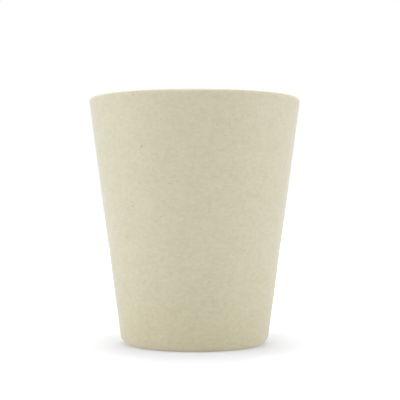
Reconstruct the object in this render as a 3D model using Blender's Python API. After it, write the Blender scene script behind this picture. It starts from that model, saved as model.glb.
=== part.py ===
"""Reusable coffee cup: a tapered tumbler moulded in one piece from plant-fibre composite.

Units are metres, +Z is up, and the origin is the middle of the foot, where the cup stands.
"""

import math

import bpy

MM = 0.001

# Driving dimensions
HEIGHT = 105.0 * MM  # from the table to the top of the lip
RIM_DIAMETER = 90.0 * MM  # across the lip
BASE_DIAMETER = 62.4 * MM  # where the outer wall, carried straight on, meets the table
WALL = 3.0 * MM  # square to the wall
FLOOR = 3.6 * MM  # from the recess under the cup to the inside
BASE_ROUND = 4.5 * MM  # radius between the outer wall and the foot
INSIDE_ROUND = 7.0 * MM  # radius between the inner wall and the floor
FOOT_WIDTH = 4.0 * MM  # flat ring that touches the table
RECESS_DEPTH = 1.2 * MM  # how far the underside stands off the table inside that ring
RECESS_ROUND = 0.5 * MM  # radius at both edges of the step up into the recess
MOST_OF_STEP = 0.45  # share of the step that one of its two rounds can take

# What follows from them
LIP_ROUND = WALL / 2
FLOOR_TOP = RECESS_DEPTH + FLOOR
STEP_ROUND = min(RECESS_ROUND, MOST_OF_STEP * RECESS_DEPTH)

# Fineness of the turned mesh
STEPS_AROUND = 80
LIP_STEPS = 5
BASE_STEPS = 7
INSIDE_STEPS = 7
RECESS_STEPS = 3
MERGE_DISTANCE = 0.001 * MM  # joins the points that lie on the axis

# Finish
COMPOSITE_COLOUR = (0.60, 0.56, 0.42, 1.0)
COMPOSITE_ROUGHNESS = 0.6

# Directions in the profile, turning from outwards towards up
OUTWARDS = 0.0
UP = math.pi / 2
DOWN = -math.pi / 2
INWARDS = -math.pi


def wall_lean():
    """Angle between the wall and upright: the line from the base circle that touches the lip."""
    out = (RIM_DIAMETER - BASE_DIAMETER) / 2 - LIP_ROUND
    up = HEIGHT - LIP_ROUND
    return math.atan2(out, up) + math.asin(LIP_ROUND / math.hypot(out, up))


def wall_radius(z, inset):
    """Radius at height z of the line that lies inset below the outer wall, square to it."""
    lean = wall_lean()
    return BASE_DIAMETER / 2 + z * math.tan(lean) - inset / math.cos(lean)


def arc(centre, radius, start, end, steps):
    """Points (r, z) on a round about a centre, from one direction to another."""
    r, z = centre
    turns = [start + (end - start) * i / steps for i in range(steps + 1)]
    return [(r + radius * math.cos(turn), z + radius * math.sin(turn)) for turn in turns]


def inside_corner():
    """The bowl's corner, from the floor to the inner wall."""
    z = FLOOR_TOP + INSIDE_ROUND
    centre = (wall_radius(z, WALL + INSIDE_ROUND), z)
    return arc(centre, INSIDE_ROUND, DOWN, -wall_lean(), INSIDE_STEPS)


def lip():
    """The full round over the rim, from the inner wall to the outer wall."""
    centre = (RIM_DIAMETER / 2 - LIP_ROUND, HEIGHT - LIP_ROUND)
    inner_half = arc(centre, LIP_ROUND, math.pi - wall_lean(), UP, LIP_STEPS)
    outer_half = arc(centre, LIP_ROUND, UP, OUTWARDS, LIP_STEPS)
    under_widest = arc(centre, LIP_ROUND, OUTWARDS, -wall_lean(), 1)
    return inner_half + outer_half[1:] + under_widest[1:]


def base_corner():
    """The outer corner, from the wall to the foot ring."""
    centre = (wall_radius(BASE_ROUND, BASE_ROUND), BASE_ROUND)
    return arc(centre, BASE_ROUND, -wall_lean(), DOWN, BASE_STEPS)


def recess_step():
    """The rounded step from the foot ring's inner edge up to the recessed underside."""
    edge = wall_radius(BASE_ROUND, BASE_ROUND) - FOOT_WIDTH
    ring_edge = arc((edge, STEP_ROUND), STEP_ROUND, DOWN, INWARDS, RECESS_STEPS)
    ceiling = (edge - 2 * STEP_ROUND, RECESS_DEPTH - STEP_ROUND)
    return ring_edge + arc(ceiling, STEP_ROUND, OUTWARDS, UP, RECESS_STEPS)


def cup_profile():
    """Half section from the floor's middle up the inside, over the lip, down and under the foot."""
    floor_middle = (0.0, FLOOR_TOP)
    underside_middle = (0.0, RECESS_DEPTH)
    rounds = inside_corner() + lip() + base_corner() + recess_step()
    return [floor_middle, *rounds, underside_middle]


def composite():
    """Pale matte plant-fibre composite."""
    material = bpy.data.materials.new("plant_fibre_composite")
    material.use_nodes = True
    shader = material.node_tree.nodes["Principled BSDF"]
    shader.inputs["Base Color"].default_value = COMPOSITE_COLOUR
    shader.inputs["Roughness"].default_value = COMPOSITE_ROUGHNESS
    shader.inputs["Metallic"].default_value = 0.0
    return material


def turned(name, profile, material):
    """An object turned about Z from a half section of (r, z) points."""
    points = [(r, 0.0, z) for r, z in profile]
    edges = [(i, i + 1) for i in range(len(points) - 1)]
    mesh = bpy.data.meshes.new(name)
    mesh.from_pydata(points, edges, [])
    mesh.materials.append(material)
    piece = bpy.data.objects.new(name, mesh)
    bpy.context.collection.objects.link(piece)
    screw = piece.modifiers.new("turn", "SCREW")
    screw.axis = "Z"
    screw.angle = 2 * math.pi
    screw.steps = STEPS_AROUND
    screw.render_steps = STEPS_AROUND
    screw.use_merge_vertices = True
    screw.merge_threshold = MERGE_DISTANCE
    screw.use_smooth_shade = True
    return piece


def main():
    for old in list(bpy.data.objects):
        bpy.data.objects.remove(old, do_unlink=True)
    turned("cup_body", cup_profile(), composite())


main()
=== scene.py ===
"""The look of a reusable coffee cup: speckled plant-fibre composite on a white studio floor.

Units are metres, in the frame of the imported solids: +Z is up and the foot's middle is the origin.
"""

import collections
import itertools
import math

import bmesh
import bpy
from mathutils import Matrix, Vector


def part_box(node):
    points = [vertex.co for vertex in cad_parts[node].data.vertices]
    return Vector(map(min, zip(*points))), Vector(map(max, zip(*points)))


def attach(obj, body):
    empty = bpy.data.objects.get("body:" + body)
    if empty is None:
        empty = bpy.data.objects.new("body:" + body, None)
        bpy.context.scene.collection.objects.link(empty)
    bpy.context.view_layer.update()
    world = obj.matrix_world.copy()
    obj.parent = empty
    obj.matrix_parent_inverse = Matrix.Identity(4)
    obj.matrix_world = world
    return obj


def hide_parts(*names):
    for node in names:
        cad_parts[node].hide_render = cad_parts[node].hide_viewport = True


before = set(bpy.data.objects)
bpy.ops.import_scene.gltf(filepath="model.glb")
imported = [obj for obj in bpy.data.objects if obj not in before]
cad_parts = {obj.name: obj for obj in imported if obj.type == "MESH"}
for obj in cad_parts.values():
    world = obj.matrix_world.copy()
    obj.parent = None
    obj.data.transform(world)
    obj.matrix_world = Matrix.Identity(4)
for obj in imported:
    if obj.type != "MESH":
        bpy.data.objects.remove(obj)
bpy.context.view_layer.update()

MM = 0.001
_, CUP_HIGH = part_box("cup_body")

# Cup: its height and rim come from the frame, the rest repeats the construction's own sizes
HEIGHT = CUP_HIGH.z
RIM_RADIUS = CUP_HIGH.x
BASE_RADIUS = 31.2 * MM
WALL = 3.0 * MM
FLOOR_TOP = 4.8 * MM
BASE_ROUND = 4.5 * MM
INSIDE_ROUND = 7.0 * MM
FOOT_WIDTH = 4.0 * MM
RECESS_DEPTH = 1.2 * MM
STEP_ROUND = 0.5 * MM
LIP_ROUND = WALL / 2

# Fineness of the turned skin
STEPS_AROUND = 240
LIP_STEPS = 10
BASE_STEPS = 14
INSIDE_STEPS = 16
STEP_STEPS = 5
WALL_STEPS = 28
FLOOR_STEPS = 12
FOOT_STEPS = 4

# Texture map: a strip for each side of the wall, and a disc for the floor and for the underside
MAP_NAME = "OFBake"
STRIP_ENDS = (0.005, 0.995)
STRIP_HEIGHTS = {"outer": (0.995, 0.585), "inner": (0.215, 0.575)}
DISC_MIDDLES = {"floor": (0.105, 0.105), "foot": (0.325, 0.105)}
DISC_RADIUS = 0.100

# Directions in the cup's half section, turning from outwards towards up
OUTWARDS = 0.0
UP = math.pi / 2
DOWN = -math.pi / 2
INWARDS = -math.pi

# How much of each finer layer of noise shows, in every noise here
NOISE_ROUGHNESS = 0.55


class Wire:
    """A value in a node tree. Arithmetic on it adds Math nodes to the tree."""

    def __init__(self, tree, socket):
        self.tree = tree
        self.socket = socket

    def __add__(self, other):
        return self.tree.maths("ADD", self, other)

    def __radd__(self, other):
        return self.tree.maths("ADD", other, self)

    def __sub__(self, other):
        return self.tree.maths("SUBTRACT", self, other)

    def __rsub__(self, other):
        return self.tree.maths("SUBTRACT", other, self)

    def __mul__(self, other):
        return self.tree.maths("MULTIPLY", self, other)

    def __rmul__(self, other):
        return self.tree.maths("MULTIPLY", other, self)

    def __truediv__(self, other):
        return self.tree.maths("DIVIDE", self, other)

    def __lt__(self, other):
        return self.tree.maths("LESS_THAN", self, other)

    def __gt__(self, other):
        return self.tree.maths("GREATER_THAN", self, other)

    def other(self, name):
        """Another output of the node that this value comes from."""
        return Wire(self.tree, self.socket.node.outputs[name])

    def rise(self, low, high):
        """0 below low, 1 above high, and smooth between them."""
        ends = {"Value": self, "From Min": low, "From Max": high, "To Min": 0.0, "To Max": 1.0}
        return self.tree.node("ShaderNodeMapRange", {"interpolation_type": "SMOOTHSTEP"}, ends)

    def split(self, name):
        """One channel of a colour, or one axis of a vector."""
        kind = "ShaderNodeSeparateXYZ" if name in "XYZ" else "ShaderNodeSeparateColor"
        return self.tree.node(kind, {}, {0: self}, name)


class Tree:
    """The node tree of a material or of the world, written as expressions."""

    def __init__(self, owner):
        owner.use_nodes = True
        self.nodes = owner.node_tree.nodes
        self.links = owner.node_tree.links
        self.nodes.clear()

    def node(self, kind, settings, sockets, out=0):
        """Adds a node of a type, with its settings and the values or links of its sockets."""
        made = self.nodes.new(kind)
        for name, value in settings.items():
            setattr(made, name, value)
        for key, value in sockets.items():
            if isinstance(value, Wire):
                self.links.new(value.socket, made.inputs[key])
            else:
                made.inputs[key].default_value = value
        return Wire(self, made.outputs[out]) if made.outputs else None

    def maths(self, operation, *values):
        """A Math node's result on numbers."""
        return self.node("ShaderNodeMath", {"operation": operation}, dict(enumerate(values)))

    def vector(self, operation, *values):
        """A Vector Math node's result on places or colours."""
        return self.node("ShaderNodeVectorMath", {"operation": operation}, dict(enumerate(values)))

    def mix(self, share, below, above, blend="MIX"):
        """A colour between two colours, or a colour laid over another."""
        settings = {"data_type": "RGBA", "blend_type": blend}
        return self.node("ShaderNodeMix", settings, {0: share, 6: below, 7: above}, 2)

    def noise(self, place, size, detail):
        """Cloudy noise from 0 to 1 whose lumps are about that size."""
        sockets = {"Vector": place, "Scale": 1 / size, "Detail": detail, "Roughness": NOISE_ROUGHNESS}
        return self.node("ShaderNodeTexNoise", {}, sockets)


def wall_lean():
    """Angle between the wall and upright: the line from the base circle that touches the lip."""
    out = RIM_RADIUS - BASE_RADIUS - LIP_ROUND
    up = HEIGHT - LIP_ROUND
    return math.atan2(out, up) + math.asin(LIP_ROUND / math.hypot(out, up))


def wall_radius(z, inset):
    """Radius at height z of the line that lies inset below the outer wall, square to it."""
    return BASE_RADIUS + z * math.tan(wall_lean()) - inset / math.cos(wall_lean())


def arc(centre, radius, start, end, steps):
    """Points (r, z) on a round about a centre, from one direction to another."""
    r, z = centre
    turns = [start + (end - start) * i / steps for i in range(steps + 1)]
    return [(r + radius * math.cos(turn), z + radius * math.sin(turn)) for turn in turns]


def between(start, end, steps):
    """Points (r, z) strictly between two points."""
    shares = [i / steps for i in range(1, steps)]
    return [tuple(a + (b - a) * t for a, b in zip(start, end)) for t in shares]


def cup_section():
    """The half section as named runs of (r, z) points, from the floor's middle to the underside's."""
    lean = wall_lean()
    z = FLOOR_TOP + INSIDE_ROUND
    corner = arc((wall_radius(z, WALL + INSIDE_ROUND), z), INSIDE_ROUND, DOWN, -lean, INSIDE_STEPS)
    lip_centre = (RIM_RADIUS - LIP_ROUND, HEIGHT - LIP_ROUND)
    lip_inner = arc(lip_centre, LIP_ROUND, math.pi - lean, UP, LIP_STEPS)
    lip_outer = arc(lip_centre, LIP_ROUND, UP, OUTWARDS, LIP_STEPS)
    lip_outer += arc(lip_centre, LIP_ROUND, OUTWARDS, -lean, 1)[1:]
    base = arc((wall_radius(BASE_ROUND, BASE_ROUND), BASE_ROUND), BASE_ROUND, -lean, DOWN, BASE_STEPS)
    edge = base[-1][0] - FOOT_WIDTH
    step = arc((edge, STEP_ROUND), STEP_ROUND, DOWN, INWARDS, STEP_STEPS)
    ceiling = (edge - 2 * STEP_ROUND, RECESS_DEPTH - STEP_ROUND)
    step += arc(ceiling, STEP_ROUND, OUTWARDS, UP, STEP_STEPS)
    floor_middle = (0.0, FLOOR_TOP)
    underside_middle = (0.0, RECESS_DEPTH)
    return {
        "floor": [floor_middle, *between(floor_middle, corner[0], FLOOR_STEPS), corner[0]],
        "inner": [*corner, *between(corner[-1], lip_inner[0], WALL_STEPS), *lip_inner],
        "outer": [*lip_outer, *between(lip_outer[-1], base[0], WALL_STEPS), *base],
        "foot": [
            base[-1],
            *between(base[-1], step[0], FOOT_STEPS),
            *step,
            *between(step[-1], underside_middle, FLOOR_STEPS),
            underside_middle,
        ],
    }


def lengths_along(run):
    """How far along a run each of its points lies, from 0 to 1."""
    far = [0.0]
    for (r0, z0), (r1, z1) in zip(run, run[1:]):
        far.append(far[-1] + math.hypot(r1 - r0, z1 - z0))
    return [length / far[-1] for length in far]


def map_place(name, along, turn):
    """Place on the texture map of a point of a run, both of its measures being from 0 to 1."""
    if name in STRIP_HEIGHTS:
        (left, right), (start, end) = STRIP_ENDS, STRIP_HEIGHTS[name]
        return left + (right - left) * turn, start + (end - start) * along
    u, v = DISC_MIDDLES[name]
    reach = DISC_RADIUS * (along if name == "floor" else 1 - along)
    return u + reach * math.cos(2 * math.pi * turn), v + reach * math.sin(2 * math.pi * turn)


def turned_ring(skin, r, z):
    """The vertices of a point turned about Z: a ring of them, or one on the axis."""
    turns = [2 * math.pi * i / STEPS_AROUND for i in range(STEPS_AROUND if r else 1)]
    return [skin.verts.new((r * math.cos(turn), r * math.sin(turn), z)) for turn in turns]


def cup_skin():
    """The cup's whole skin, turned about Z as one closed mesh."""
    skin = bmesh.new()
    places = skin.loops.layers.uv.new(MAP_NAME)
    rings = []
    for name, run in cup_section().items():
        along = lengths_along(run)
        rings = rings[-1:] + [turned_ring(skin, r, z) for r, z in (run[1:] if rings else run)]
        for k, i in itertools.product(range(len(run) - 1), range(STEPS_AROUND)):
            spots = {}
            for ring, step in ((k, i), (k + 1, i), (k + 1, i + 1), (k, i + 1)):
                corner = rings[ring][step % len(rings[ring])]
                spots.setdefault(corner, map_place(name, along[ring], step / STEPS_AROUND))
            face = skin.faces.new(list(spots))
            face.smooth = True
            for loop in face.loops:
                loop[places].uv = spots[loop.vert]
    bmesh.ops.recalc_face_normals(skin, faces=skin.faces)
    mesh = bpy.data.meshes.new("cup_skin")
    skin.to_mesh(mesh)
    skin.free()
    cup = bpy.data.objects.new("cup_skin", mesh)
    bpy.context.scene.collection.objects.link(cup)
    return cup


# Colours of the composite, in linear light, with painted shade that darkens and warms it towards the
# foot and a painted highlight that makes the lip paler
COMPOSITE = (0.643, 0.610, 0.450, 1.0)
PALE = (0.74, 0.71, 0.58, 1.0)
TAN = (0.40, 0.33, 0.19, 1.0)
BROWN = (0.22, 0.15, 0.075, 1.0)
# Painted shade: darker and warmer towards the foot, where the floor's warm bounce and the contact shade
# fall
FOOT_PAINTED_SHADE = (0.975, 0.955, 0.915, 1.0)
# Painted highlight: the lip paler where light from above falls on its round
LIP_PAINTED_HIGHLIGHT = (1.045, 1.040, 1.020, 1.0)

# Uneven tone: the size of its lumps, how finely they break up, and how much colour they add
Tone = collections.namedtuple("Tone", "size detail strength colour")
TONES = {
    "clouds": Tone(6.0 * MM, 2.0, 0.08, TAN),
    "mottle": Tone(1.7 * MM, 1.0, 0.16, TAN),
    "grain": Tone(0.5 * MM, 2.0, 0.12, PALE),
}
TONE_LOW, TONE_HIGH = 0.25, 0.75

# Pressing draws the whole pattern out level: its scale across, in depth and up
PRESSED = (0.75, 0.75, 1.20)

# Flecks: the spacing of the cells that may hold one, its largest radius, the share of cells that do,
# and how much of its colour a fleck adds
Fleck = collections.namedtuple("Fleck", "spacing radius share strength colour")
FLECKS = {
    "dust": Fleck(0.6 * MM, 0.24 * MM, 0.50, 0.12, TAN),
    "pale": Fleck(1.4 * MM, 0.55 * MM, 0.42, 0.46, PALE),
    "tan": Fleck(1.2 * MM, 0.48 * MM, 0.40, 0.28, TAN),
    "brown": Fleck(2.8 * MM, 0.44 * MM, 0.30, 0.36, BROWN),
}
FLECK_SHIFT = Vector((0.11, 0.29, 0.37))  # keeps the kinds from lying on one another
FLECK_EDGE = 0.5  # share of a fleck's radius over which it fades
LEAST_RADIUS = 0.4  # of the smallest fleck, as a share of the largest
LEAST_DEPTH = 0.4  # of the faintest fleck's colour, as a share of the strongest
FRAY_SIZE, FRAY_REACH, FRAY_DETAIL = 0.6 * MM, 0.5 * MM, 1.0  # what makes the flecks' outlines uneven

# Short fibres, laid nearly level in three directions: flecks drawn out to this length and width,
# so that their spacing and radius are shares of it
FIBRE_TURNS = ((0.3, 0.3, 0.2), (0.4, 0.2, 1.6), (0.9, -0.2, 2.7))
FIBRE_LENGTH, FIBRE_WIDTH = 2.6 * MM, 0.5 * MM
FIBRE = Fleck(1.0, 0.4, 0.16, 0.26, TAN)

# Finish: matte, a little smoother on the lip and inside, with a faint relief and the pale bloom of
# fine fibres where the wall turns away
ROUGHNESS = 0.50
GRAIN_ROUGHNESS, GRAIN_MIDDLE = 0.12, 0.5
INSIDE_POLISH = 0.08
LIP_POLISH = 0.06
RELIEF = {"grain": 0.5, "tan": 0.3, "fibres": 0.3, "brown": -0.4}
RELIEF_DEPTH = 0.03 * MM
RELIEF_STRENGTH = 0.5
REFRACTION = 1.5
SHEEN, SHEEN_ROUGHNESS = 0.4, 0.4

# Heights over which the lip's painted highlight and polish come in and the foot's painted shade goes,
# and half the width of the line in the middle of the wall that parts inside from outside
LIP_BAND = (HEIGHT - 2.4 * MM, HEIGHT - 0.6 * MM)
FOOT_PAINTED_SHADE_BAND = (6 * MM, 46 * MM)
PARTING = 0.1 * WALL


def fleck_mask(tree, place, fleck):
    """Mask of flecks, each with a size and a depth of its own."""
    settings = {"voronoi_dimensions": "3D", "feature": "F1"}
    cell = tree.node("ShaderNodeTexVoronoi", settings, {"Vector": place, "Scale": 1 / fleck.spacing})
    draw = cell.other("Color")
    size = LEAST_RADIUS + draw.split("Green") * (1 - LEAST_RADIUS)
    depth = LEAST_DEPTH + draw.split("Blue") * (1 - LEAST_DEPTH)
    reach = size * (fleck.radius / fleck.spacing)
    return (1 - cell / reach).rise(0.0, FLECK_EDGE) * depth * (draw.split("Red") < fleck.share)


def fibre_mask(tree, place):
    """Mask of short fibres: flecks drawn out along a few directions."""
    mask = 0.0
    for turn in FIBRE_TURNS:
        shape = {"Vector": place, "Rotation": turn, "Scale": (FIBRE_LENGTH, FIBRE_WIDTH, FIBRE_WIDTH)}
        along = tree.node("ShaderNodeMapping", {"vector_type": "TEXTURE"}, shape)
        mask = tree.maths("MAXIMUM", mask, fleck_mask(tree, along, FIBRE))
    return mask


def inside_mask(place):
    """1 on the cup's inside and 0 outside, parted along the middle of the wall."""
    height = place.split("Z")
    radius = place.tree.vector("LENGTH", place.tree.vector("MULTIPLY", place, (1, 1, 0))).other("Value")
    middle = wall_radius(0, WALL / 2) + height * math.tan(wall_lean())
    return (middle - radius).rise(-PARTING, PARTING) * (height > FLOOR_TOP / 2)


def composite():
    """Pressed plant-fibre composite: off-white and matte, with tan flecks and short fibres."""
    material = bpy.data.materials.new("plant_fibre_composite")
    tree = Tree(material)
    place = tree.node("ShaderNodeTexCoord", {}, {}, "Object")
    pressed = tree.vector("MULTIPLY", place, PRESSED)
    fray = tree.noise(pressed, FRAY_SIZE, FRAY_DETAIL).other("Color")
    frayed = tree.vector("MULTIPLY_ADD", fray, (FRAY_REACH,) * 3, pressed)

    masks = {}
    for name, tone in TONES.items():
        masks[name] = tree.noise(pressed, tone.size, tone.detail).rise(TONE_LOW, TONE_HIGH)
    for k, (name, fleck) in enumerate(FLECKS.items()):
        masks[name] = fleck_mask(tree, tree.vector("ADD", frayed, k * FLECK_SHIFT), fleck)
    masks["fibres"] = fibre_mask(tree, frayed)

    colour = COMPOSITE
    for name, layer in {**TONES, **FLECKS, "fibres": FIBRE}.items():
        colour = tree.mix(masks[name] * layer.strength, colour, layer.colour)
    height = place.split("Z")
    # Painted shade, strongest at the foot and fading out up the wall
    foot = 1 - height.rise(*FOOT_PAINTED_SHADE_BAND)
    # The lip's mask carries its painted highlight and also its real, smoother polish
    lip = height.rise(*LIP_BAND)
    # Painted shade at the foot, then a painted highlight along the lip
    colour = tree.mix(foot, colour, FOOT_PAINTED_SHADE, "MULTIPLY")
    colour = tree.mix(lip, colour, LIP_PAINTED_HIGHLIGHT, "MULTIPLY")

    rough = ROUGHNESS + (masks["grain"] - GRAIN_MIDDLE) * GRAIN_ROUGHNESS
    rough = rough - inside_mask(place) * INSIDE_POLISH - lip * LIP_POLISH
    relief = sum(masks[name] * depth for name, depth in RELIEF.items())
    heights = {"Strength": RELIEF_STRENGTH, "Distance": RELIEF_DEPTH, "Height": relief}
    bump = tree.node("ShaderNodeBump", {}, heights)
    sockets = {
        "Base Color": colour,
        "Roughness": rough,
        "Normal": bump,
        "IOR": REFRACTION,
        "Sheen Weight": SHEEN,
        "Sheen Roughness": SHEEN_ROUGHNESS,
    }
    shader = tree.node("ShaderNodeBsdfPrincipled", {}, sockets)
    tree.node("ShaderNodeOutputMaterial", {}, {"Surface": shader})
    return material


WHITE = (1.0, 1.0, 1.0, 1.0)


def grey(level):
    """A neutral colour."""
    return (level, level, level, 1.0)


def seen_rays(tree):
    """1 for rays that show the studio itself: from the camera, or by way of a reflection or glass."""
    path = tree.node("ShaderNodeLightPath", {}, {}, "Is Camera Ray")
    mirrored = tree.maths("MAXIMUM", path.other("Is Glossy Ray"), path.other("Is Transmission Ray"))
    return tree.maths("MAXIMUM", path, mirrored)


# Floor: what it sends back to the cup, and what the camera sees, which is white with the cup's shadow
FLOOR_SIZE = 6.0
FLOOR_BOUNCE = 0.85
FLOOR_LIGHT = 0.26
SEEN_BOUNCE = 0.86
SEEN_GLOW = (0.160, 0.170, 0.210, 1.0)
FAR_FROM, FAR_TO, FAR_GLOW = 0.3, 1.0, 0.75  # away from the lamps a stronger glow keeps it white


def studio_floor():
    """A plain white floor under the cup that keeps its shadow."""
    half = FLOOR_SIZE / 2
    mesh = bpy.data.meshes.new("studio_floor")
    corners = [(-half, -half, 0), (half, -half, 0), (half, half, 0), (-half, half, 0)]
    mesh.from_pydata(corners, [], [(0, 1, 2, 3)])
    floor = bpy.data.objects.new("studio_floor", mesh)
    bpy.context.scene.collection.objects.link(floor)
    material = bpy.data.materials.new("white_floor")
    tree = Tree(material)
    seen = seen_rays(tree)
    away = tree.vector("LENGTH", tree.node("ShaderNodeTexCoord", {}, {}, "Object")).other("Value")
    glow = tree.mix(away.rise(FAR_FROM, FAR_TO) * FAR_GLOW, SEEN_GLOW, WHITE)
    sockets = {
        "Base Color": tree.mix(seen, grey(FLOOR_BOUNCE), grey(SEEN_BOUNCE)),
        "Emission Color": tree.mix(seen, grey(FLOOR_LIGHT), glow),
        "Emission Strength": 1.0,
        "Roughness": 1.0,
        "Specular IOR Level": 0.0,
    }
    shader = tree.node("ShaderNodeBsdfPrincipled", {}, sockets)
    tree.node("ShaderNodeOutputMaterial", {}, {"Surface": shader})
    mesh.materials.append(material)


# World: the strength of its light on the cup
WORLD_LIGHT = 0.44


def studio_world():
    """Even white light from all round, and plain white where the camera sees past the floor."""
    world = bpy.data.worlds.new("studio")
    bpy.context.scene.world = world
    tree = Tree(world)
    strength = WORLD_LIGHT + seen_rays(tree) * (1.0 - WORLD_LIGHT)
    sky = tree.node("ShaderNodeBackground", {}, {"Color": WHITE, "Strength": strength})
    tree.node("ShaderNodeOutputWorld", {}, {"Surface": sky})


def soft_lamp(name, azimuth, elevation, distance, size, power):
    """A large square lamp facing the cup's middle. Azimuth runs from the camera's side to the right."""
    lamp = bpy.data.lights.new(name, "AREA")
    lamp.shape = "SQUARE"
    lamp.size = size
    lamp.energy = power
    holder = bpy.data.objects.new(name, lamp)
    around, up = math.radians(azimuth), math.radians(elevation)
    level = math.cos(up)
    away = Vector((math.sin(around) * level, -math.cos(around) * level, math.sin(up)))
    holder.location = Vector((0, 0, HEIGHT / 2)) + away * distance
    holder.rotation_euler = (-away).to_track_quat("-Z", "Y").to_euler()
    bpy.context.scene.collection.objects.link(holder)


# Camera, as the cup's outline in the photograph places it: how far from the axis, how high, and aimed
# how far to the right of the axis
VIEW_DISTANCE = 480 * MM
VIEW_HEIGHT = 61.47 * MM
AIM_RIGHT = 2.33 * MM
LENS_MM, SENSOR_MM = 100.52, 36.0
NEAREST, FARTHEST = 0.01, 20.0


def photo_camera():
    """The level camera of the photograph, a little below the rim."""
    camera = bpy.data.cameras.new("photo_camera")
    camera.sensor_width = SENSOR_MM
    camera.lens = LENS_MM
    camera.clip_start = NEAREST
    camera.clip_end = FARTHEST
    holder = bpy.data.objects.new("photo_camera", camera)
    holder.location = (0, -VIEW_DISTANCE, VIEW_HEIGHT)
    aim = Vector((AIM_RIGHT, 0, VIEW_HEIGHT)) - holder.location
    holder.rotation_euler = aim.to_track_quat("-Z", "Y").to_euler()
    bpy.context.scene.collection.objects.link(holder)
    bpy.context.scene.camera = holder


bpy.context.scene.view_settings.view_transform = "Standard"
cup = cup_skin()
cup.data.materials.append(composite())
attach(cup, "root")
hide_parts("cup_body")
studio_floor()
studio_world()
soft_lamp("left_lamp", azimuth=-80, elevation=12, distance=0.8, size=0.7, power=2.40)
soft_lamp("right_lamp", azimuth=80, elevation=12, distance=0.8, size=0.7, power=1.88)
soft_lamp("back_lamp", azimuth=180, elevation=40, distance=1.0, size=0.9, power=3.9)
soft_lamp("overhead_lamp", azimuth=0, elevation=90, distance=1.2, size=0.35, power=3.8)
soft_lamp("front_lamp", azimuth=0, elevation=70, distance=1.2, size=0.35, power=2.0)
photo_camera()
